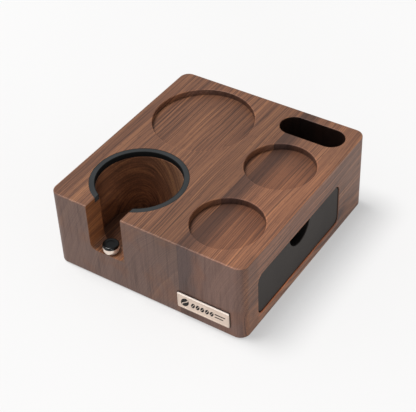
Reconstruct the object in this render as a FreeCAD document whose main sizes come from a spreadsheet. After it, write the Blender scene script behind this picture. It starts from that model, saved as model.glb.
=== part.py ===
"""Walnut espresso tamping station: a block with a portafilter bore, tool recesses and a drawer.

Millimetres. X runs to the right along the front face, Y runs to the back and Z runs up. The
origin is on the table, below the centre of the wooden block.
"""
import FreeCAD, Part
import math
import os
import Sketcher
from FreeCAD import Vector

SIZES = {
    # wooden block, glued from two staves
    "block_width": 186.0,
    "block_depth": 200.0,
    "block_height": 75.0,
    "block_corner": 9.0,
    "edge_round": 1.2,
    "base_round": 0.8,
    "rim_bevel": 0.5,
    "glue_line_x": 33.0,
    # rubber feet
    "foot_proud": 1.0,
    "foot_radius": 7.0,
    "foot_thick": 3.0,
    "foot_round": 0.6,
    "foot_inset": 20.0,
    # bore for the portafilter and the soft ring round its mouth
    "bore_x": -38.0,
    "bore_y": -50.0,
    "bore_radius": 36.0,
    "bore_floor": 14.0,
    "ring_inner_radius": 36.6,
    "ring_outer_radius": 41.5,
    "ring_thick": 5.0,
    "ring_round": 0.5,
    "seat_gap": 0.1,
    # notch for the portafilter's handle
    "notch_x": -38.15,
    "notch_width": 34.3,
    "notch_floor": 29.6,
    "notch_corner": 6.5,
    # round recesses in the top
    "large_recess_x": -38.0,
    "large_recess_y": 46.0,
    "large_recess_radius": 45.0,
    "large_recess_sink": 5.5,
    "front_recess_x": 53.2,
    "front_recess_y": -58.6,
    "rear_recess_x": 52.8,
    "rear_recess_y": 23.6,
    "small_recess_radius": 30.4,
    "small_recess_sink": 6.0,
    # oval well for a brush
    "well_x": 52.4,
    "well_y": 78.2,
    "well_half_straight": 17.8,
    "well_radius": 12.65,
    "well_floor": 12.0,
    # height-adjusting support in the notch
    "support_x": -38.8,
    "support_y": -93.7,
    "insert_radius": 4.5,
    "insert_length": 12.0,
    "stud_radius": 3.0,
    "stud_length": 10.0,
    "thread_clearance": 0.04,
    "head_gap": 0.3,
    "head_low_radius": 6.2,
    "head_radius": 7.0,
    "head_flare": 2.6,
    "head_height": 5.5,
    "head_low_round": 0.8,
    "head_high_round": 0.3,
    "boss_radius": 3.0,
    "boss_height": 1.4,
    "boss_clearance": 0.04,
    "cap_gap": 0.1,
    "cap_radius": 7.0,
    "cap_height": 2.4,
    "cap_round": 1.2,
    "cap_roof": 0.9,
    "dish_radius": 3.5,
    "dish_deep": 0.4,
    # drawer opening in the right-hand face
    "opening_y": -12.2,
    "opening_width": 131.6,
    "opening_floor": 9.4,
    "opening_height": 41.8,
    "opening_corner": 6.5,
    "opening_length": 85.5,
    # drawer
    "front_width": 130.2,
    "front_height": 40.2,
    "front_lift": 0.8,
    "front_corner": 6.0,
    "front_thick": 8.0,
    "front_sunk": 0.8,
    "front_round": 0.5,
    "finger_y": -12.0,
    "finger_radius": 16.4,
    "finger_above": 2.2,
    "box_width": 130.2,
    "box_height": 33.0,
    "box_lift": 0.5,
    "box_length": 76.0,
    "box_round": 5.5,
    "board_thick": 7.0,
    "panel_thick": 3.0,
    "panel_lift": 3.5,
    "groove_deep": 3.0,
    "dowel_radius": 2.0,
    "dowel_length": 15.0,
    "dowel_in_front": 5.0,
    "dowel_low": 10.0,
    "dowel_high": 25.0,
    "screw_radius": 1.5,
    "screw_head_radius": 3.0,
    "screw_head_deep": 1.7,
    "screw_length": 16.0,
    "screw_low": 11.0,
    "screw_high": 25.0,
    # magnets that hold the drawer shut
    "magnet_radius": 4.0,
    "magnet_thick": 2.5,
    "magnet_lift": 20.0,
    "magnet_spread": 90.0,
    # nameplate on foam tape
    "plate_x": 55.75,
    "plate_width": 48.8,
    "plate_bottom": 9.4,
    "plate_height": 15.0,
    "plate_thick": 1.2,
    "plate_corner": 0.9,
    "plate_bevel": 0.5,
    "plate_border": 1.6,
    "plate_sunk": 0.15,
    "tape_thick": 0.8,
    "tape_margin": 0.3,
}

NEAR = 0.02

doc = FreeCAD.newDocument("tamping_station")
sheet = doc.addObject("Spreadsheet::Sheet", "Sizes")
for row, (alias, value) in enumerate(SIZES.items(), 1):
    sheet.set(f"A{row}", alias)
    sheet.set(f"B{row}", str(value))
    sheet.setAlias(f"B{row}", alias)
doc.recompute()

# Heights in the block are counted from its underside, which stands foot_proud above the table.
BASE = "Sizes.foot_proud"
TOP = "(Sizes.foot_proud + Sizes.block_height)"
FRONT_FACE = "(Sizes.front_sunk + Sizes.front_thick)"
BOX_END = f"(Sizes.block_width / 2 - {FRONT_FACE})"
BOX_START = f"({BOX_END} - Sizes.box_length)"
BOX_FLOOR = f"({BASE} + Sizes.opening_floor + Sizes.box_lift)"
NOTCH_FLOOR = f"({BASE} + Sizes.notch_floor)"


def size(expression):
    """The value of an expression of the sheet's cells."""
    return float(sheet.evalExpression(expression))


# ---- helpers for bodies, sketches and features ----

def new_body(label):
    body = doc.addObject("PartDesign::Body", label)
    body.Label = label
    return body


def new_sketch(body, role, level):
    """A sketch on one of the body's own origin planes, moved out along its normal to a level.

    XY_Plane faces +Z, XZ_Plane faces -Y with X to the right, and YZ_Plane faces +X.
    """
    plane = next(f for f in body.Origin.OriginFeatures if f.Role == role)
    sketch = body.newObject("Sketcher::SketchObject", f"{body.Name}_sketch")
    sketch.AttachmentSupport = [(plane, "")]
    sketch.MapMode = "FlatFace"
    sketch.setExpression("AttachmentOffset.Base.z", level)
    return sketch


def pin(sketch, kind, geometry, point, expression):
    """Hold a sketch point at a distance from the origin that the sheet drives."""
    index = sketch.addConstraint(
        Sketcher.Constraint(kind, -1, 1, geometry, point, size(expression))
    )
    sketch.setExpression(f"Constraints[{index}]", expression)


def add_circle(sketch, x, y, radius):
    centre = Vector(size(x), size(y), 0)
    index = sketch.addGeometry(Part.Circle(centre, Vector(0, 0, 1), size(radius)))
    pin(sketch, "DistanceX", index, 3, x)
    pin(sketch, "DistanceY", index, 3, y)
    held = sketch.addConstraint(Sketcher.Constraint("Radius", index, size(radius)))
    sketch.setExpression(f"Constraints[{held}]", radius)


def add_rectangle(sketch, left, right, low, high):
    corners = [
        Vector(size(x), size(y), 0)
        for x, y in ((left, low), (right, low), (right, high), (left, high))
    ]
    first = sketch.GeometryCount
    for i in range(4):
        sketch.addGeometry(Part.LineSegment(corners[i], corners[(i + 1) % 4]))
    for i in range(4):
        ends = first + i, 2, first + (i + 1) % 4, 1
        sketch.addConstraint(Sketcher.Constraint("Coincident", *ends))
        level = "Horizontal" if i % 2 == 0 else "Vertical"
        sketch.addConstraint(Sketcher.Constraint(level, first + i))
    pin(sketch, "DistanceX", first, 1, left)
    pin(sketch, "DistanceY", first, 1, low)
    pin(sketch, "DistanceX", first + 2, 1, right)
    pin(sketch, "DistanceY", first + 2, 1, high)


def add_stadium(sketch, x, y, half_straight, radius):
    """A slot outline with straight sides along X and half-round ends."""
    half, r, quarter = size(half_straight), size(radius), math.pi / 2
    left = Vector(size(x) - half, size(y), 0)
    right = Vector(size(x) + half, size(y), 0)
    up = Vector(0, r, 0)
    right_end = Part.Circle(right, Vector(0, 0, 1), r)
    left_end = Part.Circle(left, Vector(0, 0, 1), r)
    a = sketch.addGeometry(Part.ArcOfCircle(right_end, -quarter, quarter))
    b = sketch.addGeometry(Part.ArcOfCircle(left_end, quarter, 3 * quarter))
    top = sketch.addGeometry(Part.LineSegment(right + up, left + up))
    low = sketch.addGeometry(Part.LineSegment(left - up, right - up))
    for joint in ((a, 2, top, 1), (top, 2, b, 1), (b, 2, low, 1), (low, 2, a, 1)):
        sketch.addConstraint(Sketcher.Constraint("Tangent", *joint))
    pin(sketch, "DistanceX", a, 3, f"{x} + {half_straight}")
    pin(sketch, "DistanceX", b, 3, f"{x} - {half_straight}")
    pin(sketch, "DistanceY", a, 3, y)
    pin(sketch, "DistanceY", b, 3, y)
    held = sketch.addConstraint(Sketcher.Constraint("Radius", a, r))
    sketch.setExpression(f"Constraints[{held}]", radius)


def pad(body, sketch, length):
    feature = body.newObject("PartDesign::Pad", f"{body.Name}_pad")
    feature.Profile = sketch
    feature.setExpression("Length", length)
    sketch.Visibility = False
    doc.recompute()
    return feature


def pocket(body, sketch, length, upward=False):
    """Cut from the sketch back into the body, and stop the script if nothing is cut."""
    before = body.Shape.Volume
    feature = body.newObject("PartDesign::Pocket", f"{body.Name}_pocket")
    feature.Profile = sketch
    feature.Reversed = upward
    feature.setExpression("Length", length)
    doc.recompute()
    assert body.Shape.Volume < before - NEAR, f"{feature.Name} cuts nothing"
    return feature


def dress(body, kind, value, wanted):
    """Round or bevel the edges that the test picks out of the body's present shape."""
    tip = body.Tip
    names = [
        f"Edge{i}" for i, edge in enumerate(tip.Shape.Edges, 1) if wanted(edge)
    ]
    assert names, f"{body.Name} has no edge to dress"
    feature = body.newObject(f"PartDesign::{kind}", f"{body.Name}_{kind.lower()}")
    feature.Base = (tip, names)
    feature.setExpression("Radius" if kind == "Fillet" else "Size", value)
    doc.recompute()
    return feature


def revolve(body, points, x, y):
    """Turn a closed outline of (radius, height) expressions about a vertical axis."""
    sketch = new_sketch(body, "XZ_Plane", f"-({y})")
    first = sketch.GeometryCount
    spots = [Vector(size(x) + size(r), size(z), 0) for r, z in points]
    count = len(spots)
    for i in range(count):
        sketch.addGeometry(Part.LineSegment(spots[i], spots[(i + 1) % count]))
    for i in range(count):
        ends = first + i, 2, first + (i + 1) % count, 1
        sketch.addConstraint(Sketcher.Constraint("Coincident", *ends))
        pin(sketch, "DistanceX", first + i, 1, f"{x} + {points[i][0]}")
        pin(sketch, "DistanceY", first + i, 1, points[i][1])
    axis = sketch.addGeometry(
        Part.LineSegment(Vector(size(x), 0, 0), Vector(size(x), 10, 0)), True
    )
    sketch.addConstraint(Sketcher.Constraint("Vertical", axis))
    pin(sketch, "DistanceX", axis, 1, x)
    feature = body.newObject("PartDesign::Revolution", f"{body.Name}_turned")
    feature.Profile = sketch
    feature.ReferenceAxis = (sketch, ["Axis0"])
    feature.Angle = 360
    sketch.Visibility = False
    doc.recompute()
    return feature


# ---- tests that pick edges ----

def spans(edge, axis):
    """The edge's lowest and highest coordinate along X, Y or Z."""
    box = edge.BoundBox
    return getattr(box, f"{axis}Min"), getattr(box, f"{axis}Max")


def lies_at(edge, axis, expression):
    low, high = spans(edge, axis)
    level = size(expression)
    return abs(low - level) < NEAR and abs(high - level) < NEAR


def runs_along(edge, axis):
    low, high = spans(edge, axis)
    return abs(high - low - edge.Length) < NEAR


def round_about(edge, x, y, radius):
    """Is the edge an arc about a vertical axis at x, y?"""
    curve = edge.Curve
    return (
        isinstance(curve, Part.Circle)
        and abs(curve.Radius - size(radius)) < NEAR
        and abs(curve.Center.x - size(x)) < NEAR
        and abs(curve.Center.y - size(y)) < NEAR
    )


# ---- the wooden block ----

def block_blank(body):
    sketch = new_sketch(body, "XY_Plane", BASE)
    half_width, half_depth = "Sizes.block_width / 2", "Sizes.block_depth / 2"
    add_rectangle(sketch, f"-{half_width}", half_width, f"-{half_depth}", half_depth)
    pad(body, sketch, "Sizes.block_height")
    dress(body, "Fillet", "Sizes.block_corner", lambda edge: runs_along(edge, "Z"))
    dress(body, "Fillet", "Sizes.edge_round", lambda edge: lies_at(edge, "Z", TOP))
    dress(body, "Fillet", "Sizes.base_round", lambda edge: lies_at(edge, "Z", BASE))


def round_pocket(body, x, y, radius, deep):
    sketch = new_sketch(body, "XY_Plane", TOP)
    add_circle(sketch, x, y, radius)
    pocket(body, sketch, deep)


def cut_portafilter_bore(body):
    x, y = "Sizes.bore_x", "Sizes.bore_y"
    round_pocket(body, x, y, "Sizes.bore_radius", "Sizes.block_height - Sizes.bore_floor")
    seat = "Sizes.ring_outer_radius + Sizes.seat_gap"
    round_pocket(body, x, y, seat, "Sizes.ring_thick")


def cut_notch(body):
    """The handle's notch runs from the front face into the bore."""
    sketch = new_sketch(body, "XZ_Plane", "Sizes.block_depth / 2")
    left = "Sizes.notch_x - Sizes.notch_width / 2"
    right = "Sizes.notch_x + Sizes.notch_width / 2"
    add_rectangle(sketch, left, right, NOTCH_FLOOR, f"{TOP} + Sizes.edge_round")
    pocket(body, sketch, "Sizes.block_depth / 2 + Sizes.bore_y")
    dress(
        body,
        "Fillet",
        "Sizes.notch_corner",
        lambda edge: lies_at(edge, "Z", NOTCH_FLOOR) and runs_along(edge, "Y"),
    )


def cut_recesses(body):
    round_pocket(
        body,
        "Sizes.large_recess_x",
        "Sizes.large_recess_y",
        "Sizes.large_recess_radius",
        "Sizes.large_recess_sink",
    )
    for side in ("front", "rear"):
        round_pocket(
            body,
            f"Sizes.{side}_recess_x",
            f"Sizes.{side}_recess_y",
            "Sizes.small_recess_radius",
            "Sizes.small_recess_sink",
        )


def cut_well(body):
    sketch = new_sketch(body, "XY_Plane", TOP)
    add_stadium(
        sketch,
        "Sizes.well_x",
        "Sizes.well_y",
        "Sizes.well_half_straight",
        "Sizes.well_radius",
    )
    pocket(body, sketch, "Sizes.block_height - Sizes.well_floor")


def cut_drawer_opening(body):
    sketch = new_sketch(body, "YZ_Plane", "Sizes.block_width / 2")
    near = "Sizes.opening_y - Sizes.opening_width / 2"
    far = "Sizes.opening_y + Sizes.opening_width / 2"
    low = f"{BASE} + Sizes.opening_floor"
    high = f"{low} + Sizes.opening_height"
    add_rectangle(sketch, near, far, low, high)
    pocket(body, sketch, "Sizes.opening_length")
    end = "Sizes.block_width / 2 - Sizes.opening_length"

    def is_long_corner(edge):
        low_x, high_x = spans(edge, "X")
        inside = abs(low_x - size(end)) < NEAR
        return inside and runs_along(edge, "X") and high_x > size("Sizes.block_width / 2") - 1

    dress(body, "Fillet", "Sizes.opening_corner", is_long_corner)


def magnet_spots(x):
    """Centres of the two magnets whose outer faces lie at x, as expressions."""
    height = f"{BASE} + Sizes.opening_floor + Sizes.magnet_lift"
    return [
        (x, f"Sizes.opening_y {sign} Sizes.magnet_spread / 2", height) for sign in "-+"
    ]


def cut_magnet_sockets(body, x):
    """Blind sockets, open towards +X, for the magnets in the end wall of the opening."""
    sketch = new_sketch(body, "YZ_Plane", x)
    for _, y, z in magnet_spots(x):
        add_circle(sketch, y, z, "Sizes.magnet_radius")
    pocket(body, sketch, "Sizes.magnet_thick")


def cut_insert_socket(body):
    sketch = new_sketch(body, "XY_Plane", NOTCH_FLOOR)
    add_circle(sketch, "Sizes.support_x", "Sizes.support_y", "Sizes.insert_radius")
    pocket(body, sketch, "Sizes.insert_length")


FOOT_SPOTS = {
    "foot_front_left": ("-", "-"),
    "foot_front_right": ("+", "-"),
    "foot_rear_left": ("-", "+"),
    "foot_rear_right": ("+", "+"),
}


def foot_centre(signs):
    across, along = signs
    x = f"0 {across} (Sizes.block_width / 2 - Sizes.foot_inset)"
    y = f"0 {along} (Sizes.block_depth / 2 - Sizes.foot_inset)"
    return x, y


def cut_foot_sockets(body):
    sketch = new_sketch(body, "XY_Plane", BASE)
    for signs in FOOT_SPOTS.values():
        add_circle(sketch, *foot_centre(signs), "Sizes.foot_radius")
    pocket(body, sketch, "Sizes.foot_thick - Sizes.foot_proud", upward=True)


def soften_rims(body):
    """Small bevels on the mouths of the recesses, the well and the drawer opening."""
    recesses = [
        ("Sizes.large_recess_x", "Sizes.large_recess_y", "Sizes.large_recess_radius"),
        ("Sizes.front_recess_x", "Sizes.front_recess_y", "Sizes.small_recess_radius"),
        ("Sizes.rear_recess_x", "Sizes.rear_recess_y", "Sizes.small_recess_radius"),
    ]

    def is_recess_rim(edge):
        return lies_at(edge, "Z", TOP) and any(round_about(edge, *r) for r in recesses)

    def is_well_rim(edge):
        low, high = spans(edge, "Y")
        clear_of_edge = high < size("Sizes.block_depth / 2 - Sizes.edge_round") - NEAR
        past_recess = low > size("Sizes.well_y - Sizes.well_radius") - NEAR
        right = spans(edge, "X")[0] > 0
        return lies_at(edge, "Z", TOP) and clear_of_edge and past_recess and right and (
            spans(edge, "X")[1] < size("Sizes.block_width / 2 - Sizes.edge_round") - NEAR
        )

    def is_opening_rim(edge):
        return lies_at(edge, "X", "Sizes.block_width / 2") and (
            spans(edge, "Z")[0] > size(f"{BASE} + Sizes.base_round") + NEAR
            and spans(edge, "Z")[1] < size(f"{TOP} - Sizes.edge_round") - NEAR
            and spans(edge, "Y")[0] > -size("Sizes.block_depth / 2 - Sizes.block_corner") + NEAR
            and spans(edge, "Y")[1] < size("Sizes.block_depth / 2 - Sizes.block_corner") - NEAR
        )

    dress(body, "Chamfer", "Sizes.rim_bevel", is_recess_rim)
    dress(body, "Chamfer", "Sizes.rim_bevel", is_well_rim)
    dress(body, "Chamfer", "Sizes.rim_bevel", is_opening_rim)


def make_block():
    """The whole block in one piece; the staves are what a cut at the glue line leaves of it."""
    body = new_body("block")
    block_blank(body)
    cut_recesses(body)
    cut_well(body)
    cut_portafilter_bore(body)
    cut_notch(body)
    cut_drawer_opening(body)
    cut_magnet_sockets(body, "Sizes.block_width / 2 - Sizes.opening_length")
    cut_insert_socket(body)
    cut_foot_sockets(body)
    soften_rims(body)
    return body


def make_stave(block, label, left, right):
    """One stave: the part of the block between two planes across X."""
    slab = doc.addObject("Part::Box", f"{label}_slab")
    slab.setExpression("Length", f"{right} - ({left})")
    slab.setExpression("Width", "Sizes.block_depth * 2")
    slab.setExpression("Height", "Sizes.block_height * 2")
    slab.setExpression("Placement.Base.x", left)
    slab.setExpression("Placement.Base.y", "-Sizes.block_depth")
    stave = doc.addObject("Part::Common", label)
    stave.Base = block
    stave.Tool = slab
    stave.Label = label
    return stave


# ---- fittings of the block ----

def make_ring():
    """The soft C-shaped ring, cut away where the notch passes through it."""
    body = new_body("portafilter_ring")
    sketch = new_sketch(body, "XY_Plane", f"{TOP} - Sizes.ring_thick")
    x, y = "Sizes.bore_x", "Sizes.bore_y"
    add_circle(sketch, x, y, "Sizes.ring_outer_radius")
    add_circle(sketch, x, y, "Sizes.ring_inner_radius")
    pad(body, sketch, "Sizes.ring_thick")
    mouth = new_sketch(body, "XY_Plane", TOP)
    left = "Sizes.notch_x - Sizes.notch_width / 2"
    right = "Sizes.notch_x + Sizes.notch_width / 2"
    add_rectangle(mouth, left, right, "-Sizes.block_depth / 2", "Sizes.bore_y")
    pocket(body, mouth, "Sizes.ring_thick")
    dress(body, "Fillet", "Sizes.ring_round", lambda edge: lies_at(edge, "Z", TOP))
    return body


def make_foot(label, signs):
    """A rubber disc whose lower rim is rounded."""
    body = new_body(label)
    sketch = new_sketch(body, "XY_Plane", "0")
    add_circle(sketch, *foot_centre(signs), "Sizes.foot_radius")
    pad(body, sketch, "Sizes.foot_thick")
    dress(body, "Fillet", "Sizes.foot_round", lambda edge: lies_at(edge, "Z", "0"))
    return body


def make_insert():
    """The threaded brass sleeve under the support, with its thread as a plain bore."""
    inner = "Sizes.stud_radius + Sizes.thread_clearance"
    low = f"{NOTCH_FLOOR} - Sizes.insert_length"
    outline = [
        (inner, low),
        ("Sizes.insert_radius", low),
        ("Sizes.insert_radius", NOTCH_FLOOR),
        (inner, NOTCH_FLOOR),
    ]
    body = new_body("support_insert")
    revolve(body, outline, "Sizes.support_x", "Sizes.support_y")
    return body


def make_screw():
    """The support's screw: a stud, a head that flares upwards and a small boss for the cap."""
    head_low = f"{NOTCH_FLOOR} + Sizes.head_gap"
    head_high = f"{head_low} + Sizes.head_height"
    boss_high = f"{head_high} + Sizes.boss_height"
    outline = [
        ("0", f"{NOTCH_FLOOR} - Sizes.stud_length"),
        ("Sizes.stud_radius", f"{NOTCH_FLOOR} - Sizes.stud_length"),
        ("Sizes.stud_radius", head_low),
        ("Sizes.head_low_radius", head_low),
        ("Sizes.head_radius", f"{head_low} + Sizes.head_flare"),
        ("Sizes.head_radius", head_high),
        ("Sizes.boss_radius", head_high),
        ("Sizes.boss_radius", boss_high),
        ("0", boss_high),
    ]
    body = new_body("support_screw")
    x, y = "Sizes.support_x", "Sizes.support_y"
    revolve(body, outline, x, y)
    rims = (
        ("Sizes.head_low_radius", head_low, "Sizes.head_low_round"),
        ("Sizes.head_radius", head_high, "Sizes.head_high_round"),
    )
    for radius, level, rounding in rims:
        dress(
            body,
            "Fillet",
            rounding,
            lambda edge: lies_at(edge, "Z", level) and round_about(edge, x, y, radius),
        )
    return body


def make_cap():
    """The rubber pad on the support: dished on top, rounded outside, hollow round the boss."""
    low = f"{NOTCH_FLOOR} + Sizes.head_gap + Sizes.head_height + Sizes.cap_gap"
    high = f"{low} + Sizes.cap_height"
    inner = "Sizes.boss_radius + Sizes.boss_clearance"
    dish = f"{high} - Sizes.dish_deep"
    roof = f"{high} - Sizes.cap_roof"
    outline = [
        (inner, low),
        ("Sizes.cap_radius", low),
        ("Sizes.cap_radius", high),
        ("Sizes.dish_radius", high),
        ("Sizes.dish_radius", dish),
        ("0", dish),
        ("0", roof),
        (inner, roof),
    ]
    body = new_body("support_cap")
    x, y = "Sizes.support_x", "Sizes.support_y"
    revolve(body, outline, x, y)
    dress(
        body,
        "Fillet",
        "Sizes.cap_round",
        lambda edge: lies_at(edge, "Z", high) and round_about(edge, x, y, "Sizes.cap_radius"),
    )
    return body


# ---- the drawer ----

def corner_rectangle(body, role, level, edges, length):
    """Pad a rectangle, given by its left, right, low and high sides, back from a level."""
    sketch = new_sketch(body, role, level)
    add_rectangle(sketch, *edges)
    return pad(body, sketch, length)


def box_side_planes():
    """Outer faces of the two side boards, nearest the front of the block first."""
    near = "(Sizes.opening_y - Sizes.box_width / 2)"
    far = "(Sizes.opening_y + Sizes.box_width / 2)"
    return near, far


def make_drawer_front():
    """The black front with its finger cut, and the groove and dowel holes in its back."""
    body = new_body("drawer_front")
    near = "Sizes.opening_y - Sizes.front_width / 2"
    far = "Sizes.opening_y + Sizes.front_width / 2"
    low = f"{BASE} + Sizes.opening_floor + Sizes.front_lift"
    high = f"{low} + Sizes.front_height"
    corner_rectangle(body, "YZ_Plane", BOX_END, (near, far, low, high), "Sizes.front_thick")
    dress(body, "Fillet", "Sizes.front_corner", lambda edge: runs_along(edge, "X"))
    finger = new_sketch(body, "YZ_Plane", f"{BOX_END} + Sizes.front_thick")
    add_circle(finger, "Sizes.finger_y", f"{high} + Sizes.finger_above", "Sizes.finger_radius")
    pocket(body, finger, "Sizes.front_thick")
    face = f"{BOX_END} + Sizes.front_thick"
    dress(body, "Fillet", "Sizes.front_round", lambda edge: lies_at(edge, "X", face))
    cut_panel_groove(body, BOX_END, "Sizes.groove_deep", True)
    holes = new_sketch(body, "YZ_Plane", BOX_END)
    for y, z in dowel_spots():
        add_circle(holes, y, z, "Sizes.dowel_radius")
    pocket(body, holes, "Sizes.dowel_in_front", upward=True)
    return body


def cut_panel_groove(body, level, deep, upward):
    """The groove across X that holds the bottom panel's end."""
    near, far = box_side_planes()
    inset = "Sizes.board_thick - Sizes.groove_deep"
    low = f"{BOX_FLOOR} + Sizes.panel_lift"
    sketch = new_sketch(body, "YZ_Plane", level)
    sides = f"{near} + {inset}", f"{far} - ({inset})"
    add_rectangle(sketch, *sides, low, f"{low} + Sizes.panel_thick")
    pocket(body, sketch, deep, upward)


def dowel_spots():
    """Centres of the dowels that join the front to the side boards."""
    near, far = box_side_planes()
    middles = f"{near} + Sizes.board_thick / 2", f"{far} - Sizes.board_thick / 2"
    heights = f"{BOX_FLOOR} + Sizes.dowel_low", f"{BOX_FLOOR} + Sizes.dowel_high"
    return [(y, z) for y in middles for z in heights]


def screw_spots():
    """Centres of the screws that hold the back board, in X and Z."""
    x = f"{BOX_START} + Sizes.board_thick / 2"
    return [(x, f"{BOX_FLOOR} + Sizes.screw_{level}") for level in ("low", "high")]


def make_drawer_side(label, outer, inward):
    """A side board: rounded below, grooved for the panel, bored for dowels and screws."""
    body = new_body(label)
    inner = f"{outer} {inward} Sizes.board_thick"
    low, high = sorted((outer, inner), key=size)
    top = f"{BOX_FLOOR} + Sizes.box_height"
    edges = (low, high, BOX_FLOOR, top)
    corner_rectangle(body, "YZ_Plane", BOX_START, edges, "Sizes.box_length")
    dress(
        body,
        "Fillet",
        "Sizes.box_round",
        lambda edge: lies_at(edge, "Z", BOX_FLOOR) and lies_at(edge, "Y", outer),
    )
    groove = new_sketch(body, "YZ_Plane", BOX_END)
    groove_low = f"{BOX_FLOOR} + Sizes.panel_lift"
    reach = f"{inner} {'-' if inward == '+' else '+'} Sizes.groove_deep"
    left, right = sorted((inner, reach), key=size)
    add_rectangle(groove, left, right, groove_low, f"{groove_low} + Sizes.panel_thick")
    pocket(body, groove, "Sizes.box_length")
    holes = new_sketch(body, "YZ_Plane", BOX_END)
    for y, z in dowel_spots():
        if abs(size(y) - size(outer)) < size("Sizes.board_thick"):
            add_circle(holes, y, z, "Sizes.dowel_radius")
    pocket(body, holes, "Sizes.dowel_length - Sizes.dowel_in_front")
    return body


def make_drawer_back():
    body = new_body("drawer_back")
    near, far = box_side_planes()
    sides = f"{near} + Sizes.board_thick", f"{far} - Sizes.board_thick"
    edges = (*sides, BOX_FLOOR, f"{BOX_FLOOR} + Sizes.box_height")
    corner_rectangle(body, "YZ_Plane", BOX_START, edges, "Sizes.board_thick")
    low = f"{BOX_FLOOR} + Sizes.panel_lift"
    groove = new_sketch(body, "YZ_Plane", f"{BOX_START} + Sizes.board_thick")
    add_rectangle(groove, *sides, low, f"{low} + Sizes.panel_thick")
    pocket(body, groove, "Sizes.groove_deep")
    sockets = new_sketch(body, "YZ_Plane", BOX_START)
    for _, y, z in magnet_spots(BOX_START):
        add_circle(sockets, y, z, "Sizes.magnet_radius")
    pocket(body, sockets, "Sizes.magnet_thick", upward=True)
    return body


def make_drawer_bottom():
    """The thin panel held in the grooves all round."""
    body = new_body("drawer_bottom")
    near, far = box_side_planes()
    inset = "Sizes.board_thick - Sizes.groove_deep"
    low = f"{BOX_FLOOR} + Sizes.panel_lift"
    start = f"{BOX_START} + {inset}"
    end = f"{BOX_END} + Sizes.groove_deep"
    sketch = new_sketch(body, "XY_Plane", low)
    add_rectangle(sketch, start, end, f"{near} + {inset}", f"{far} - ({inset})")
    pad(body, sketch, "Sizes.panel_thick")
    return body


# ---- groups of small identical pieces ----

def rod(name, radius, length, spot, turn):
    """A plain cylinder that starts at a spot and runs along its own turned Z axis."""
    piece = doc.addObject("Part::Cylinder", name)
    piece.setExpression("Radius", radius)
    piece.setExpression("Height", length)
    place(piece, spot, turn)
    return piece


def place(piece, spot, turn):
    piece.Placement.Rotation = turn
    for letter, expression in zip("xyz", spot):
        piece.setExpression(f"Placement.Base.{letter}", expression)


def group(label, pieces):
    bundle = doc.addObject("Part::Compound", label)
    bundle.Links = pieces
    bundle.Label = label
    return bundle


ALONG_X = FreeCAD.Rotation(Vector(0, 0, 1), Vector(1, 0, 0))
ALONG_Y = FreeCAD.Rotation(Vector(0, 0, 1), Vector(0, 1, 0))
AGAINST_Y = FreeCAD.Rotation(Vector(0, 0, 1), Vector(0, -1, 0))


def make_dowels():
    start = f"{BOX_END} - Sizes.dowel_length + Sizes.dowel_in_front"
    pieces = [
        rod("dowel", "Sizes.dowel_radius", "Sizes.dowel_length", (start, y, z), ALONG_X)
        for y, z in dowel_spots()
    ]
    return group("drawer_dowels", pieces)


def make_magnets(label, x):
    pieces = [
        rod("magnet", "Sizes.magnet_radius", "Sizes.magnet_thick", spot, ALONG_X)
        for spot in magnet_spots(x)
    ]
    return group(label, pieces)


def make_screw_shape(name, spot, turn):
    """A countersunk screw whose head starts at the spot."""
    head = doc.addObject("Part::Cone", f"{name}_head")
    head.setExpression("Radius1", "Sizes.screw_head_radius")
    head.setExpression("Radius2", "Sizes.screw_radius")
    head.setExpression("Height", "Sizes.screw_head_deep")
    place(head, spot, turn)
    shank = rod(f"{name}_shank", "Sizes.screw_radius", "Sizes.screw_length", spot, turn)
    screw = doc.addObject("Part::Fuse", name)
    screw.Base = head
    screw.Tool = shank
    return screw


def make_drawer_screws():
    near, far = box_side_planes()
    pieces = []
    for x, z in screw_spots():
        pieces.append(make_screw_shape("screw", (x, near, z), ALONG_Y))
        pieces.append(make_screw_shape("screw", (x, far, z), AGAINST_Y))
    return group("drawer_screws", pieces)


def without(board, screws, label):
    """A board with its screw holes cut by the screws themselves."""
    holed = doc.addObject("Part::Cut", label)
    holed.Base = board
    holed.Tool = screws
    holed.Label = label
    return holed


# ---- the nameplate ----

def make_plate():
    """A bevelled metal plate whose field is sunk inside a narrow border."""
    body = new_body("nameplate")
    back = "(Sizes.block_depth / 2 + Sizes.tape_thick)"
    left = "Sizes.plate_x - Sizes.plate_width / 2"
    right = "Sizes.plate_x + Sizes.plate_width / 2"
    low = f"{BASE} + Sizes.plate_bottom"
    edges = (left, right, low, f"{low} + Sizes.plate_height")
    corner_rectangle(body, "XZ_Plane", back, edges, "Sizes.plate_thick")
    dress(body, "Fillet", "Sizes.plate_corner", lambda edge: runs_along(edge, "Y"))
    face = f"-({back} + Sizes.plate_thick)"
    dress(body, "Chamfer", "Sizes.plate_bevel", lambda edge: lies_at(edge, "Y", face))
    field = new_sketch(body, "XZ_Plane", f"{back} + Sizes.plate_thick")
    border = "Sizes.plate_border"
    low_field = f"{low} + {border}"
    high_field = f"{low} + Sizes.plate_height - {border}"
    add_rectangle(field, f"{left} + {border}", f"{right} - {border}", low_field, high_field)
    pocket(body, field, "Sizes.plate_sunk")
    return body


def make_tape():
    body = new_body("nameplate_tape")
    left = "Sizes.plate_x - Sizes.plate_width / 2 - Sizes.tape_margin"
    right = "Sizes.plate_x + Sizes.plate_width / 2 + Sizes.tape_margin"
    low = f"{BASE} + Sizes.plate_bottom - Sizes.tape_margin"
    high = f"{BASE} + Sizes.plate_bottom + Sizes.plate_height + Sizes.tape_margin"
    face = "Sizes.block_depth / 2"
    corner_rectangle(body, "XZ_Plane", face, (left, right, low, high), "Sizes.tape_thick")
    return body


# ---- assembly ----

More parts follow.
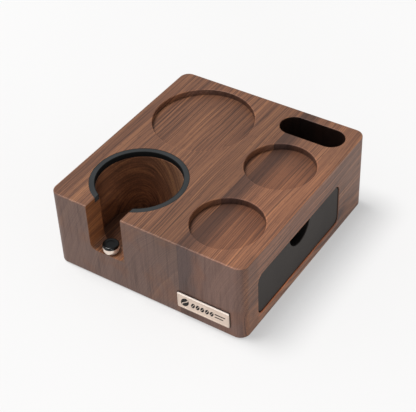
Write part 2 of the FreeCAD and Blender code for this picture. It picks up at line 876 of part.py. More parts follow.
def make_block_parts():
    block = make_block()
    return [
        make_stave(block, "stave_left", "-Sizes.block_width", "Sizes.glue_line_x"),
        make_stave(block, "stave_right", "Sizes.glue_line_x", "Sizes.block_width"),
        make_ring(),
        make_insert(),
        make_plate(),
        make_tape(),
        make_magnets(
            "catch_magnets",
            "Sizes.block_width / 2 - Sizes.opening_length - Sizes.magnet_thick",
        ),
        *(make_foot(label, signs) for label, signs in FOOT_SPOTS.items()),
    ]


def make_drawer_parts():
    near, far = box_side_planes()
    screws = make_drawer_screws()
    front_side = make_drawer_side("side_front_board", near, "+")
    rear_side = make_drawer_side("side_rear_board", far, "-")
    back = make_drawer_back()
    back.Label = "back_board"
    return [
        make_drawer_front(),
        without(front_side, screws, "drawer_side_front"),
        without(rear_side, screws, "drawer_side_rear"),
        without(back, screws, "drawer_back"),
        make_drawer_bottom(),
        make_dowels(),
        screws,
        make_magnets("drawer_magnets", BOX_START),
    ]


def check_and_write(parts):
    """Stop if any object failed or any shape is unsound, then write one STEP file a part."""
    doc.recompute()
    failed = [o.Label for o in doc.Objects if {"Invalid", "Error"} & set(o.State)]
    assert not failed, f"failed: {failed}"
    for piece in parts:
        shape = piece.Shape
        assert not shape.isNull() and shape.isValid(), f"unsound: {piece.Label}"
        assert shape.Solids, f"no solid: {piece.Label}"
    os.makedirs("parts", exist_ok=True)
    for piece in parts:
        piece.Shape.exportStep(f"parts/{piece.Label}.step")
        print(f"{piece.Label}: {len(piece.Shape.Solids)} solids, {piece.Shape.Volume:.1f} mm3")


check_and_write([*make_block_parts(), *make_drawer_parts(), make_screw(), make_cap()])
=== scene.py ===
"""Looks of the walnut tamping station: wood, rubber, metal and coating materials, the enamel
on the nameplate, studio light and camera. Objects are in metres in the frame of the CAD model.
Materials and the nameplate's marks use millimetres in that frame, as the piece stands at rest."""
import math

import bmesh
import bpy
from mathutils import Matrix, Vector


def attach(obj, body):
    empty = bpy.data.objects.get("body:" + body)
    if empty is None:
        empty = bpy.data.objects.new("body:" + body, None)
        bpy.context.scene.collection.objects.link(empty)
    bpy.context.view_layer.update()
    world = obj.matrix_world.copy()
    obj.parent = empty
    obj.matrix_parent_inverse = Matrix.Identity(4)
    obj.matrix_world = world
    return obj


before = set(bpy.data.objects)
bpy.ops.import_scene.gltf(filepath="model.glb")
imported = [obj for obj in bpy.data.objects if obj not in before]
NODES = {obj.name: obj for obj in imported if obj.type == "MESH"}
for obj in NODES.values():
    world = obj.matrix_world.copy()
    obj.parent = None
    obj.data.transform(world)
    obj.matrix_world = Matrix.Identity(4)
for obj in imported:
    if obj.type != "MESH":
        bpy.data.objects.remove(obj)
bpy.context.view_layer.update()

MM = 0.001

# Where things are on the station, in millimetres. Floors, seats and roofs are heights.
TOP, RIGHT_FACE, GLUE_LINE = 76.0, 93.0, 33.0
BORE_CENTRE, BORE_RADIUS, BORE_FLOOR = (-38.0, -50.0), 36.0, 15.0
RING_RADIUS, RING_SEAT = 36.6, 71.0
NOTCH_X, NOTCH_HALF_WIDTH, NOTCH_FLOOR, NOTCH_END_Y = -38.15, 17.15, 30.6, -70.0
WELL_CENTRE, WELL_HALF_STRAIGHT, WELL_RADIUS = (52.4, 78.2), 17.8, 12.65
OPENING_Y, OPENING_HALF_WIDTH, OPENING_FLOOR, OPENING_ROOF = -12.2, 65.8, 10.4, 52.2
DRAWER_FACE = 92.2
PLATE_CENTRE, PLATE_FIELD_HALF = (55.75, 17.9), (22.8, 5.9)
FIELD_Y, MARK_Y = -101.85, -101.97


# ---- a small builder for shader node graphs ----

class Graph:
    """A material's node tree, with a short method for each node or small sum used here."""

    def __init__(self, name):
        self.material = bpy.data.materials.new(name)
        self.material.use_nodes = True
        self.tree = self.material.node_tree
        self.shader = self.tree.nodes["Principled BSDF"]

    def add(self, kind, **settings):
        node = self.tree.nodes.new(f"ShaderNode{kind}")
        for key, value in settings.items():
            setattr(node, key, value)
        return node

    def feed(self, socket, value):
        """Link a socket to another, or set it to a plain value."""
        if isinstance(value, bpy.types.NodeSocket):
            self.tree.links.new(value, socket)
        else:
            socket.default_value = value

    def math(self, operation, *values):
        node = self.add("Math", operation=operation)
        for socket, value in zip(node.inputs, values):
            self.feed(socket, value)
        return node.outputs[0]

    def vector(self, operation, *values):
        node = self.add("VectorMath", operation=operation)
        for socket, value in zip(node.inputs, values):
            self.feed(socket, value)
        return node.outputs[0]

    def scaled(self, colour, factor):
        """A plain colour times a factor that changes from place to place."""
        node = self.add("VectorMath", operation="SCALE")
        self.feed(node.inputs[0], colour[:3])
        self.feed(node.inputs["Scale"], factor)
        return node.outputs[0]

    def split(self, vector):
        node = self.add("SeparateXYZ")
        self.feed(node.inputs[0], vector)
        return node.outputs[:3]

    def join(self, x, y, z):
        node = self.add("CombineXYZ")
        for socket, value in zip(node.inputs, (x, y, z)):
            self.feed(socket, value)
        return node.outputs[0]

    def place(self):
        """The point in the object's own space, in millimetres."""
        point = self.add("TexCoord").outputs["Object"]
        return self.vector("MULTIPLY", point, (1 / MM,) * 3)

    def facing(self, axis):
        """The part of the surface's normal along axis 0, 1 or 2, from -1 to 1."""
        return self.split(self.add("TexCoord").outputs["Normal"])[axis]

    def noise(self, point, scale=1.0, detail=2.0, rough=0.5):
        """Smooth noise from 0 to 1, whose cells are 1 / scale of the point's units."""
        node = self.add("TexNoise")
        self.feed(node.inputs["Vector"], point)
        node.inputs["Scale"].default_value = scale
        node.inputs["Detail"].default_value = detail
        node.inputs["Roughness"].default_value = rough
        return node.outputs[0]

    def ramp(self, value, stops):
        """A colour ramp from (position, colour) stops."""
        node = self.add("ValToRGB")
        self.feed(node.inputs[0], value)
        elements = node.color_ramp.elements
        while len(elements) < len(stops):
            elements.new(1.0)
        for element, (position, colour) in zip(elements, stops):
            element.position = position
            element.color = colour
        return node.outputs[0]

    def smooth(self, value, low, high, to_low=0.0, to_high=1.0):
        """A smooth step from to_low to to_high as the value goes from low to high."""
        node = self.add("MapRange", interpolation_type="SMOOTHSTEP")
        for socket, number in zip(node.inputs, (value, low, high, to_low, to_high)):
            self.feed(socket, number)
        return node.outputs[0]

    def fall(self, value, low, high):
        """A smooth step from 1 down to 0 as the value goes from low to high."""
        return self.smooth(value, low, high, 1.0, 0.0)

    def both(self, first, second):
        """The product of two shares, which is 1 only where both are 1."""
        return self.math("MULTIPLY", first, second)

    def apart(self, value, centre):
        """How far a value lies from a centre, on either side."""
        return self.math("ABSOLUTE", self.math("SUBTRACT", value, centre))

    def blend(self, share, first, second, mode="MIX"):
        """Mix two colours by a share."""
        node = self.add("Mix", data_type="RGBA", blend_type=mode)
        sockets = (node.inputs[0], node.inputs[6], node.inputs[7])
        for socket, value in zip(sockets, (share, first, second)):
            self.feed(socket, value)
        return node.outputs[2]

    def bump(self, height, depth_mm):
        node = self.add("Bump")
        node.inputs["Strength"].default_value = 1.0
        node.inputs["Distance"].default_value = depth_mm * MM
        self.feed(node.inputs["Height"], height)
        self.feed(self.shader.inputs["Normal"], node.outputs[0])

    def finish(self, **values):
        """Set the shader's sockets by their names, with _ for a space."""
        for name, value in values.items():
            self.feed(self.shader.inputs[name.replace("_", " ")], value)
        return self


def srgb(text):
    """A hex colour as linear red, green, blue and alpha."""
    channels = [int(text[i:i + 2], 16) / 255 for i in (1, 3, 5)]
    linear = [c / 12.92 if c <= 0.04045 else ((c + 0.055) / 1.055) ** 2.4 for c in channels]
    return (*linear, 1.0)


def grey(level):
    return (level, level, level, 1.0)


# ---- wood ----

LEFT_TONES = (srgb("#946646"), srgb("#694532"), srgb("#342018"))
RIGHT_TONES = (srgb("#a26d4b"), srgb("#7b5039"), srgb("#42281e"))
STAINED_TONES = (srgb("#171412"), srgb("#100e0c"), srgb("#080707"))
PORE = srgb("#2a1a13")

# What the wood's colour is multiplied by, as linear red, green and blue.
TINTS = {
    "left_end": (0.93, 1.22, 1.74),
    "right_end": (0.82, 1.08, 1.60),
    "end_streaks": (0.70, 0.66, 0.64),
    "end_patches": (1.14, 0.98, 0.82),
    "plain": (0.92, 0.92, 0.90),
    "stripe": (0.74, 0.78, 0.83),
    "beside_stripe": (0.78, 0.79, 0.82),
    "glue_line": (0.60, 0.57, 0.55),
    "front_corner": (0.74, 0.75, 0.78),
    # Painted shade towards the rear.
    "rear": (0.82, 0.87, 0.92),
    # Painted highlight on the rounded top edges.
    "edge": (1.34, 1.34, 1.33),
    # Painted light on the bore's wall, stronger towards the right.
    "bore_wall_painted_light": (1.22, 1.16, 1.04),
    "bore_right_painted_light": (1.5, 2.0, 2.5),
    # Painted light in the handle's notch, and painted shade on its walls.
    "notch": (1.38, 1.28, 1.06),
    "notch_wall_painted_shade": (0.78, 0.71, 0.62),
    # Painted light and shade in the recesses: highlight round the rim, lighter walls, shade at the
    # back right.
    "recess_rim_painted_highlight": (1.14, 1.12, 1.10),
    "recess_wall_painted_light": (1.30, 1.22, 1.15),
    "recess_back_wall_painted_shade": (0.52, 0.48, 0.45),
    "recess_back_floor_painted_shade": (0.70, 0.66, 0.64),
    # Painted shade: nearly black inside the well.
    "well": (0.13, 0.10, 0.09),
    # Painted shade inside the drawer opening, and a painted highlight on its lip.
    "opening": (0.16, 0.13, 0.12),
    "opening_lip_painted_highlight": (1.8, 1.35, 1.1),
}

# Each round recess in the top: its centre, its radius and the tint of its floor. The small
# recesses' darker floors are partly the wood's own tone and partly painted shade.
SMALL_RECESSES = (
    ((53.2, -58.6), 30.4, (0.82, 0.77, 0.73)),
    ((52.8, 23.6), 30.4, (0.82, 0.77, 0.73)),
)
LARGE_RECESS = ((-38.0, 46.0), 45.0, (0.97, 0.96, 0.95))


def growth_field(g, point, pith, seed, cells):
    """Rings about a pith parallel to Y, as three noises that run along the grain.

    pith is the X and Z of the rings' centre. cells are the widths of the fine lines and of the
    broad bands, measured across the rings. The third noise is the fibre.
    """
    moved = g.vector("ADD", point, (seed * 37.0, seed * 91.0, seed * 53.0))
    x, y, z = g.split(point)
    across = g.math("SUBTRACT", x, pith[0])
    upward = g.math("SUBTRACT", z, pith[1])
    squares = g.math("MULTIPLY_ADD", across, across, g.math("MULTIPLY", upward, upward))
    # The rings wander by up to 12 mm, most slowly along the grain.
    drift = g.noise(g.vector("MULTIPLY", moved, (0.014, 0.005, 0.014)))
    radius = g.math("MULTIPLY_ADD", drift, 12.0, g.math("SQRT", squares))
    # Round the rings and along the grain the lines change far more slowly than across them.
    arc = g.math("MULTIPLY", g.math("ARCTAN2", across, upward), 1.3)
    fine_along = g.math("MULTIPLY_ADD", y, 0.008, seed)
    broad_along = g.math("MULTIPLY_ADD", y, 0.006, seed * 3.0)
    fine = g.join(g.math("DIVIDE", radius, cells[0]), fine_along, arc)
    broad = g.join(g.math("DIVIDE", radius, cells[1]), broad_along, arc)
    fibres = g.vector("MULTIPLY", moved, (1.1, 0.02, 1.1))
    return g.noise(fine), g.noise(broad), g.noise(fibres, rough=0.6)


def wood_tone(g, fields, weights, calm):
    """Sum the three noises into one tone around 0.5. calm is 1 where the figure disappears."""
    tone = 0.5
    for field, weight in zip(fields, weights):
        tone = g.math("MULTIPLY_ADD", g.math("SUBTRACT", field, 0.5), weight, tone)
    return g.math("MULTIPLY_ADD", g.math("SUBTRACT", 0.5, tone), calm, tone)


def wood_colour(g, tone, tones):
    """The colour of a tone, which is 0 in the lightest wood and 1 in the darkest."""
    light, middle, dark = tones
    return g.ramp(tone, [(0.05, light), (0.5, middle), (0.95, dark)])


def tint(g, colour, share, multiplier):
    """Multiply a colour in the places that the share marks."""
    return g.blend(share, colour, (*multiplier, 1.0), "MULTIPLY")


def distance_to(g, x, y, centre, half_straight=0.0):
    """Distance from a vertical axis, or from the middle line of an oval along X."""
    aside = g.math("MAXIMUM", g.math("SUBTRACT", g.apart(x, centre[0]), half_straight), 0.0)
    away = g.math("SUBTRACT", y, centre[1])
    return g.math("SQRT", g.math("MULTIPLY_ADD", aside, aside, g.math("MULTIPLY", away, away)))


def inside_hole(g, z, distance, radius, top):
    """1 on the walls and floor of a vertical hole of that radius, below a height; 0 elsewhere."""
    near = g.fall(distance, radius + 0.1, radius + 0.4)
    return g.both(near, g.fall(z, top - 0.6, top))


def end_grain_share(g):
    """1 where a face cuts straight across the grain, 0 where it lies along it."""
    return g.smooth(g.math("ABSOLUTE", g.facing(1)), 0.35, 0.95)


def add_end_figure(g, colour, point, end, end_tint):
    """End grain: greyed, with faint upright streaks and warmer patches."""
    streaks = g.noise(g.vector("MULTIPLY", point, (0.42, 0.01, 0.02)), rough=0.6)
    patches = g.noise(g.vector("MULTIPLY", point, (0.035, 0.01, 0.03)))
    colour = tint(g, colour, end, end_tint)
    colour = tint(g, colour, g.both(end, g.smooth(streaks, 0.45, 0.72)), TINTS["end_streaks"])
    return tint(g, colour, g.both(end, g.smooth(patches, 0.48, 0.66)), TINTS["end_patches"])


def add_pores(g, colour, point, fibre, depth_mm):
    """Short dark pores along the grain, with the bump and roughness that go with them."""
    field = g.noise(g.vector("MULTIPLY", point, (1.7, 0.12, 1.7)), detail=1.0)
    pore = g.smooth(field, 0.60, 0.74)
    g.bump(g.math("MULTIPLY", pore, -1.0), depth_mm)
    rough = g.math("MULTIPLY_ADD", pore, 0.15, g.math("MULTIPLY_ADD", fibre, 0.14, 0.38))
    g.feed(g.shader.inputs["Roughness"], rough)
    return g.blend(g.math("MULTIPLY", pore, 0.4), colour, PORE)


def add_recess_tone_and_painted_light(g, colour, point, centre, radius, floor_tint):
    """Painted light and shade in a recess: a painted highlight in a thin ring round the rim,
    painted light that makes the walls paler and warmer, the floor's own tint, and painted shade on
    walls and floor that darken towards the back right.
    """
    x, y, z = g.split(point)
    distance = distance_to(g, x, y, centre)
    inside = inside_hole(g, z, distance, radius, TOP - 0.2)
    upright = g.math("ABSOLUTE", g.facing(2))
    wall = g.both(inside, g.fall(upright, 0.3, 0.7))
    floor = g.both(inside, g.smooth(upright, 0.3, 0.7))
    around = g.fall(g.apart(distance, radius + 0.6), 0.2, 0.6)
    rim = g.both(around, g.smooth(z, TOP - 0.7, TOP - 0.4))
    rightward = g.math("SUBTRACT", x, centre[0])
    backward = g.math("SUBTRACT", y, centre[1])
    away = g.math("MULTIPLY_ADD", rightward, 0.7, backward)
    # Painted shade on the walls and floor towards the back right.
    painted_back_wall_shade = g.both(wall, g.smooth(away, 0.0, 1.1 * radius))
    painted_back_floor_shade = g.both(floor, g.smooth(away, -0.1 * radius, 1.1 * radius))
    colour = tint(g, colour, rim, TINTS["recess_rim_painted_highlight"])
    colour = tint(g, colour, wall, TINTS["recess_wall_painted_light"])
    colour = tint(g, colour, painted_back_wall_shade, TINTS["recess_back_wall_painted_shade"])
    colour = tint(g, colour, floor, floor_tint)
    return tint(g, colour, painted_back_floor_shade, TINTS["recess_back_floor_painted_shade"])


def add_edge(g, colour, z):
    """Painted highlight: paler wood on the rounded edges around the top, where they face partly
    up.
    """
    upright = g.facing(2)
    rounded = g.both(g.smooth(upright, 0.25, 0.5), g.fall(upright, 0.86, 0.98))
    return tint(g, colour, g.both(rounded, g.smooth(z, TOP - 2.5, TOP - 1.5)), TINTS["edge"])


def add_painted_well_shade(g, colour, x, y, z):
    """Painted shade: nearly black wood inside the oval well."""
    distance = distance_to(g, x, y, WELL_CENTRE, WELL_HALF_STRAIGHT)
    return tint(g, colour, inside_hole(g, z, distance, WELL_RADIUS, TOP - 0.4), TINTS["well"])


def add_notch_painted_light_and_shade(g, colour, x, y, z):
    """Painted light and shade in the handle's notch: lighter, warmer wood, with painted shade
    making its walls darker than its floor.
    """
    aside = g.apart(x, NOTCH_X)
    across = g.fall(aside, NOTCH_HALF_WIDTH + 0.15, NOTCH_HALF_WIDTH + 0.45)
    between = g.both(across, g.fall(y, NOTCH_END_Y, NOTCH_END_Y + 10.0))
    above = g.smooth(z, NOTCH_FLOOR - 0.2, NOTCH_FLOOR + 0.3)
    notch = g.both(between, g.both(above, g.fall(z, TOP - 1.0, TOP - 0.4)))
    upright = g.math("ABSOLUTE", g.facing(2))
    colour = tint(g, colour, notch, TINTS["notch"])
    return tint(g, colour, g.both(notch, g.fall(upright, 0.1, 0.6)), TINTS["notch_wall_painted_shade"])


def add_bore_wall_painted_light(g, colour, x, z, bore):
    """Painted light on the bore's wall: lighter, warmer wood, paler still towards the right."""
    wall = g.both(bore, g.smooth(z, BORE_FLOOR + 0.5, BORE_FLOOR + 5.0))
    colour = tint(g, colour, wall, TINTS["bore_wall_painted_light"])
    return tint(g, colour, g.both(wall, g.smooth(x, -60.0, 0.0)), TINTS["bore_right_painted_light"])


def add_opening_painted_light_and_shade(g, colour, x, y, z):
    """Painted light and shade at the drawer opening: a painted highlight on the lip below the
    drawer front, and painted shade that darkens the sides and roof behind the opening's rim.
    """
    aside = g.apart(y, OPENING_Y)
    across = g.fall(aside, OPENING_HALF_WIDTH - 0.8, OPENING_HALF_WIDTH + 1.2)
    across = g.both(across, g.smooth(x, RIGHT_FACE - 1.0, RIGHT_FACE - 0.6))
    above = g.smooth(z, OPENING_FLOOR - 1.1, OPENING_FLOOR - 0.8)
    lip = g.both(across, g.both(above, g.fall(z, OPENING_FLOOR + 0.4, OPENING_FLOOR + 0.8)))
    within = g.fall(aside, OPENING_HALF_WIDTH + 0.1, OPENING_HALF_WIDTH + 0.4)
    within = g.both(within, g.fall(z, OPENING_ROOF + 0.2, OPENING_ROOF + 0.5))
    behind = g.smooth(z, OPENING_FLOOR + 0.2, OPENING_FLOOR + 0.6)
    behind = g.both(behind, g.fall(x, RIGHT_FACE - 0.8, RIGHT_FACE - 0.5))
    colour = tint(g, colour, lip, TINTS["opening_lip_painted_highlight"])
    return tint(g, colour, g.both(within, behind), TINTS["opening"])


def walnut_left():
    """The wide stave: fine straight lines, plain towards the glue line, arches in the bore."""
    g = Graph("walnut_left")
    point = g.place()
    x, y, z = g.split(point)
    bore = inside_hole(g, z, distance_to(g, x, y, BORE_CENTRE), BORE_RADIUS, RING_SEAT + 0.3)
    end = g.both(end_grain_share(g), g.math("SUBTRACT", 1.0, bore))
    plain = g.both(g.smooth(x, 0.0, 16.0), g.smooth(z, 40.0, 66.0))
    lines = growth_field(g, point, pith=(150.0, -60.0), seed=1.0, cells=(0.6, 4.0))
    tall = g.vector("MULTIPLY", point, (1.0, 1.0, 0.5))
    arches = growth_field(g, tall, pith=(-60.0, 5.0), seed=4.0, cells=(0.9, 4.0))
    # Lines everywhere, and arches in their place on the bore's wall.
    fields = [
        g.math("MULTIPLY_ADD", g.math("SUBTRACT", arch, line), bore, line)
        for line, arch in zip(lines, arches)
    ]
    calm = g.math("MAXIMUM", g.math("MULTIPLY", end, 0.7), g.math("MULTIPLY", plain, 0.1))
    fine = g.math("MULTIPLY_ADD", bore, -0.3, 1.5)
    broad = g.math("MULTIPLY_ADD", plain, -0.5, 0.6)
    tone = wood_tone(g, fields, weights=(fine, broad, 0.6), calm=calm)
    colour = wood_colour(g, tone, LEFT_TONES)
    colour = add_end_figure(g, colour, point, end, TINTS["left_end"])
    colour = tint(g, colour, plain, TINTS["plain"])
    colour = add_notch_painted_light_and_shade(g, colour, x, y, z)
    colour = add_bore_wall_painted_light(g, colour, x, z, bore)
    for recess in (*SMALL_RECESSES, LARGE_RECESS):
        colour = add_recess_tone_and_painted_light(g, colour, point, *recess)
    colour = add_edge(g, colour, z)
    colour = add_painted_well_shade(g, colour, x, y, z)
    colour = add_pores(g, colour, point, fields[2], 0.05)
    return g.finish(Base_Color=colour, Specular_IOR_Level=0.35)


def walnut_right():
    """The narrow stave: a dark stripe beside the glue line, then fine reddish lines."""
    g = Graph("walnut_right")
    point = g.place()
    x, y, z = g.split(point)
    end = end_grain_share(g)
    lines = growth_field(g, point, pith=(178.0, 14.0), seed=2.0, cells=(0.42, 3.4))
    wavy = g.math("MULTIPLY_ADD", g.math("SUBTRACT", lines[1], 0.5), 10.0, x)
    stripe = g.fall(wavy, GLUE_LINE + 7.0, GLUE_LINE + 20.0)
    calm = g.math("MAXIMUM", g.math("MULTIPLY", end, 0.7), g.math("MULTIPLY", stripe, 0.5))
    tone = wood_tone(g, lines, weights=(1.7, 0.4, 0.7), calm=calm)
    darker = g.both(stripe, g.math("MULTIPLY_ADD", end, -0.7, 1.0))
    tone = g.math("MULTIPLY_ADD", darker, 0.22, tone)
    colour = wood_colour(g, tone, RIGHT_TONES)
    colour = tint(g, colour, stripe, TINTS["stripe"])
    beside_stripe = g.fall(wavy, GLUE_LINE + 11.0, GLUE_LINE + 37.0)
    colour = tint(g, colour, beside_stripe, TINTS["beside_stripe"])
    glue_line = g.fall(x, GLUE_LINE + 0.1, GLUE_LINE + 0.5)
    colour = tint(g, colour, glue_line, TINTS["glue_line"])
    colour = add_end_figure(g, colour, point, end, TINTS["right_end"])
    for recess in SMALL_RECESSES:
        colour = add_recess_tone_and_painted_light(g, colour, point, *recess)
    corner = g.both(g.smooth(x, RIGHT_FACE - 8.0, RIGHT_FACE - 2.0), g.fall(y, -83.0, -75.0))
    colour = tint(g, colour, corner, TINTS["front_corner"])
    # Painted shade: the rear of the narrow stave is darker.
    colour = tint(g, colour, g.smooth(y, 15.0, 60.0), TINTS["rear"])
    colour = add_edge(g, colour, z)
    colour = add_opening_painted_light_and_shade(g, colour, x, y, z)
    colour = add_painted_well_shade(g, colour, x, y, z)
    colour = add_pores(g, colour, point, lines[2], 0.05)
    return g.finish(Base_Color=colour, Specular_IOR_Level=0.35)


def stained_board(name, along_x, seed):
    """Black-stained wood whose grain runs along Y, or along X."""
    g = Graph(name)
    point = g.place()
    if along_x:
        x, y, z = g.split(point)
        point = g.join(y, x, z)
    fields = growth_field(g, point, pith=(60.0, -300.0), seed=seed, cells=(1.6, 9.0))
    tone = wood_tone(g, fields, weights=(1.0, 0.7, 0.4), calm=0.0)
    colour = wood_colour(g, tone, STAINED_TONES)
    colour = add_pores(g, colour, point, fields[2], 0.03)
    return g.finish(Base_Color=colour, Specular_IOR_Level=0.15)


# ---- rubber, coating and metal ----

def speckled(name, colour, rough, grain_mm, depth_mm, **sockets):
    """A plain moulded or coated surface with fine pebbling and slight mottling."""
    g = Graph(name)
    point = g.place()
    grains = g.noise(point, 1 / grain_mm, rough=0.6)
    shade = g.math("MULTIPLY_ADD", g.noise(point, 0.05, detail=3.0), 0.5, 0.75)
    g.bump(grains, depth_mm)
    g.feed(g.shader.inputs["Roughness"], g.math("MULTIPLY_ADD", grains, 0.2, rough - 0.1))
    return g.finish(Base_Color=g.scaled(colour, shade), **sockets)


def brushed(name, colour, rough, stretch, metallic=1.0):
    """Brushed metal whose fine scratches run along the axis with the smallest stretch."""
    g = Graph(name)
    point = g.place()
    scratches = g.noise(g.vector("MULTIPLY", point, stretch), detail=3.0, rough=0.7)
    cloud = g.math("MULTIPLY_ADD", g.noise(point, 0.08), 0.1, 0.87)
    shade = g.math("ADD", g.math("MULTIPLY", scratches, 0.16), cloud)
    g.bump(scratches, 0.004)
    g.feed(g.shader.inputs["Roughness"], g.math("MULTIPLY_ADD", scratches, 0.2, rough - 0.1))
    return g.finish(Base_Color=g.scaled(colour, shade), Metallic=metallic)


def shade_base(g, share, multiplier):
    """Multiply the base colour that a finished material already has, where the share marks."""
    colour = g.shader.inputs["Base Color"].links[0].from_socket
    g.feed(g.shader.inputs["Base Color"], tint(g, colour, share, multiplier))


def nameplate_metal():
    """Champagne metal with painted light: a painted highlight where the surface faces up, painted
    shade where it doesn't, so the border is darkest, and a slightly paler field.
    """
    g = brushed("champagne", srgb("#e6d3c4"), 0.34, (0.05, 3.0, 4.0), 0.3)
    x, _, z = g.split(g.place())
    shares = [
        g.fall(g.apart(value, centre), half - 0.1, half + 0.1)
        for value, centre, half in zip((x, z), PLATE_CENTRE, PLATE_FIELD_HALF)
    ]
    field = g.both(*shares)
    upward = g.facing(2)
    # Painted shade where the surface doesn't face up.
    shade_base(g, g.fall(upward, 0.2, 0.5), (0.82, 0.80, 0.78))
    # Painted highlight where the surface faces up.
    shade_base(g, g.smooth(upward, 0.2, 0.5), (1.22, 1.30, 1.38))
    shade_base(g, field, (1.07, 1.06, 1.06))
    return g


def ring_silicone():
    """Dark silicone, with painted shade that makes the ring's inner wall nearly black."""
    g = speckled("ring_silicone", srgb("#2f3132"), 0.75, 0.5, 0.01, Specular_IOR_Level=0.12)
    x, y, _ = g.split(g.place())
    inner = g.fall(distance_to(g, x, y, BORE_CENTRE), RING_RADIUS + 0.3, RING_RADIUS + 0.8)
    # Painted shade on the ring's inner wall.
    shade_base(g, inner, (0.15, 0.15, 0.15))
    return g


def drawer_coating():
    """Charcoal coating, with painted shade that makes it nearly black behind the drawer front's
    face: on its edges, in the finger cut and on its back.
    """
    g = speckled("charcoal", srgb("#2e2824"), 0.6, 0.35, 0.012, Specular_IOR_Level=0.25)
    x, _, _ = g.split(g.place())
    # Painted shade behind the front face.
    shade_base(g, g.fall(x, DRAWER_FACE - 0.9, DRAWER_FACE - 0.5), (0.14, 0.13, 0.13))
    return g


def dress(g, *names):
    """Give a graph's material to CAD nodes."""
    for name in names:
        for slot in NODES[name].material_slots:
            slot.material = g.material


def finish_nodes():
    dress(walnut_left(), "stave_left")
    dress(walnut_right(), "stave_right")
    dress(ring_silicone(), "portafilter_ring")
    feet = [name for name in NODES if name.startswith("foot_")]
    silicone = speckled("foot_silicone", srgb("#222324"), 0.75, 0.5, 0.01, Specular_IOR_Level=0.12)
    dress(silicone, *feet)
    rubber = speckled("cap_rubber", srgb("#050505"), 0.16, 0.8, 0.002, Specular_IOR_Level=0.3)
    dress(rubber, "support_cap")
    dress(brushed("turned_metal", srgb("#e6d6c8"), 0.3, (0.05, 0.05, 6.0), 0.7), "support_screw")
    dress(brushed("brass", srgb("#c9a25c"), 0.35, (0.1, 0.1, 5.0)), "support_insert")
    dress(nameplate_metal(), "nameplate")
    # The dark foam tape is partly real and partly a dark sheet that stands in for the shade along
    # the plate's top and right edges.
    dress(speckled("foam_tape_and_shade", srgb("#231a15"), 0.9, 0.4, 0.05), "nameplate_tape")
    nickel = brushed("nickel", srgb("#c8c8ca"), 0.2, (1.0, 1.0, 1.0))
    dress(nickel, "catch_magnets", "drawer_magnets")
    dress(drawer_coating(), "drawer_front")
    crosswise = stained_board("stained_along_y", along_x=False, seed=3.0)
    dress(crosswise, "drawer_back", "drawer_bottom")
    lengthwise = stained_board("stained_along_x", along_x=True, seed=5.0)
    dress(lengthwise, "drawer_side_front", "drawer_side_rear")
    dress(speckled("beech", srgb("#c39a6b"), 0.6, 0.6, 0.02), "drawer_dowels")
    dress(brushed("zinc", srgb("#b9bcbd"), 0.35, (1.0, 4.0, 1.0)), "drawer_screws")


# ---- enamel marks on the nameplate ----

def bean_halves(centre, length, width, tilt):
    """Two outlines of a coffee bean split by a curved seam."""
    steps = 20
    halves = []
    for side in (-1, 1):
        rim = [math.pi * i / steps for i in range(steps + 1)]
        outline = [(side * width / 2 * math.sin(a), length / 2 * math.cos(a)) for a in rim]
        for a in reversed(rim[1:-1]):
            seam = 0.14 * width * math.sin(2 * a) + side * 0.07 * width
            outline.append((seam, length / 2 * math.cos(a) * 0.97))
        if side > 0:
            outline.reverse()
        c, s = math.cos(tilt), math.sin(tilt)
        halves.append([(centre[0] + u * c - v * s, centre[1] + u * s + v * c) for u, v in outline])
    return halves


def bar(centre, length, height):
    """The outline of a bar with rounded ends."""
    outline = []
    for side in (1, -1):
        for i in range(7):
            a = math.pi * (i / 6 - 0.5)
            u = side * (length / 2 - height / 2 + height / 2 * math.cos(a))
            outline.append((centre[0] + u, centre[1] + side * height / 2 * math.sin(a)))
    return outline


def make_marks():
    """A large bean, a row of five small ones and two bars, filled into the plate's field."""
    x, z = PLATE_CENTRE
    outlines = bean_halves((x - 17.0, z), length=9.2, width=6.8, tilt=math.radians(-32))
    for i in range(5):
        centre = (x - 9.2 + 4.4 * i, z)
        outlines += bean_halves(centre, length=5.3, width=3.4, tilt=math.radians(-20))
    outlines.append(bar((x + 16.2, z + 1.5), length=10.0, height=0.9))
    outlines.append(bar((x + 15.2, z - 1.5), length=8.0, height=0.9))
    mesh = bmesh.new()
    for outline in outlines:
        low = [mesh.verts.new((u * MM, FIELD_Y * MM, v * MM)) for u, v in outline]
        high = [mesh.verts.new((u * MM, MARK_Y * MM, v * MM)) for u, v in outline]
        mesh.faces.new(high)
        mesh.faces.new(list(reversed(low)))
        for i in range(len(outline)):
            j = (i + 1) % len(outline)
            mesh.faces.new((low[i], low[j], high[j], high[i]))
    bmesh.ops.recalc_face_normals(mesh, faces=mesh.faces)
    data = bpy.data.meshes.new("nameplate_marks")
    mesh.to_mesh(data)
    mesh.free()
    marks = bpy.data.objects.new("nameplate_marks", data)
    bpy.context.scene.collection.objects.link(marks)
    enamel = speckled("enamel", srgb("#120f0e"), 0.5, 0.3, 0.003, Specular_IOR_Level=0.2)
    data.materials.append(enamel.material)
    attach(marks, "station")


# ---- floor, light and camera ----

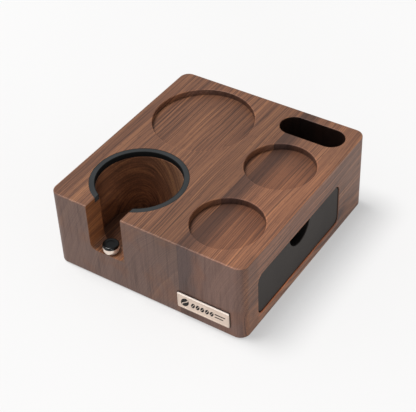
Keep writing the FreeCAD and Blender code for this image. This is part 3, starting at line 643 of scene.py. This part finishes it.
def make_floor():
    """Pale paper that glows a little, and less in a strip beside the drawer: a painted shadow
    along the block's right side.
    """
    mesh = bpy.data.meshes.new("floor")
    half = 6.0
    corners = [(-half, -half, 0), (half, -half, 0), (half, half, 0), (-half, half, 0)]
    mesh.from_pydata(corners, [], [(0, 1, 2, 3)])
    floor = bpy.data.objects.new("floor", mesh)
    bpy.context.scene.collection.objects.link(floor)
    g = Graph("floor_paper")
    point = g.place()
    shade = g.noise(point, 0.002, detail=1.0)
    colour = g.ramp(shade, [(0.3, grey(0.305)), (0.7, grey(0.315))])
    glow = g.ramp(shade, [(0.3, grey(0.98)), (0.7, grey(1.0))])
    x, y, _ = g.split(point)
    beside = g.smooth(x, RIGHT_FACE - 13.0, RIGHT_FACE - 1.0)
    beside = g.both(beside, g.fall(x, RIGHT_FACE + 1.0, RIGHT_FACE + 15.0))
    strip = g.both(beside, g.fall(g.math("ABSOLUTE", y), 90.0, 104.0))
    # Painted shadow: less glow in the strip beside the block's right side.
    glow = tint(g, glow, strip, (0.82, 0.82, 0.82))
    g.finish(Base_Color=colour, Roughness=0.9, Specular_IOR_Level=0.1)
    g.finish(Emission_Color=glow, Emission_Strength=0.505)
    mesh.materials.append(g.material)


def add_light(name, kind, energy, towards, **settings):
    data = bpy.data.lights.new(name, kind)
    data.energy = energy
    for key, value in settings.items():
        setattr(data, key, value)
    light = bpy.data.objects.new(name, data)
    light.rotation_mode = "QUATERNION"
    light.rotation_quaternion = Vector(towards).to_track_quat("-Z", "Y")
    bpy.context.scene.collection.objects.link(light)


def make_light():
    world = bpy.data.worlds.new("studio")
    bpy.context.scene.world = world
    world.use_nodes = True
    background = world.node_tree.nodes["Background"]
    background.inputs["Color"].default_value = (0.97, 0.985, 1.0, 1.0)
    background.inputs["Strength"].default_value = 0.5
    warm = (1.0, 0.98, 0.965)
    add_light("key", "SUN", 3.25, (0.37, 0.08, -1.0), angle=math.radians(25), color=warm)
    add_light("fill", "SUN", 1.35, (-0.62, 0.72, 0.0), angle=math.radians(12))


def make_camera():
    """The camera stands in front of the right-hand corner and looks down on the station."""
    azimuth, elevation, roll = math.radians(34.928), math.radians(40.613), math.radians(-2.777)
    back = Vector(
        (
            math.sin(azimuth) * math.cos(elevation),
            -math.cos(azimuth) * math.cos(elevation),
            math.sin(elevation),
        )
    )
    right = (-back).cross(Vector((0, 0, 1))).normalized()
    up = right.cross(-back)
    image_right = math.cos(roll) * right + math.sin(roll) * up
    image_up = math.cos(roll) * up - math.sin(roll) * right
    data = bpy.data.cameras.new("camera")
    data.sensor_width, data.lens = 36.0, 99.7
    data.clip_start, data.clip_end = 0.05, 50.0
    camera = bpy.data.objects.new("camera", data)
    bpy.context.scene.collection.objects.link(camera)
    place = Vector((0.42740, -0.61977, 0.67262))
    turn = Matrix((image_right, image_up, back)).transposed().to_4x4()
    camera.matrix_world = Matrix.Translation(place) @ turn
    bpy.context.scene.camera = camera


finish_nodes()
make_marks()
make_floor()
make_light()
make_camera()
bpy.context.scene.view_settings.view_transform = "Standard"
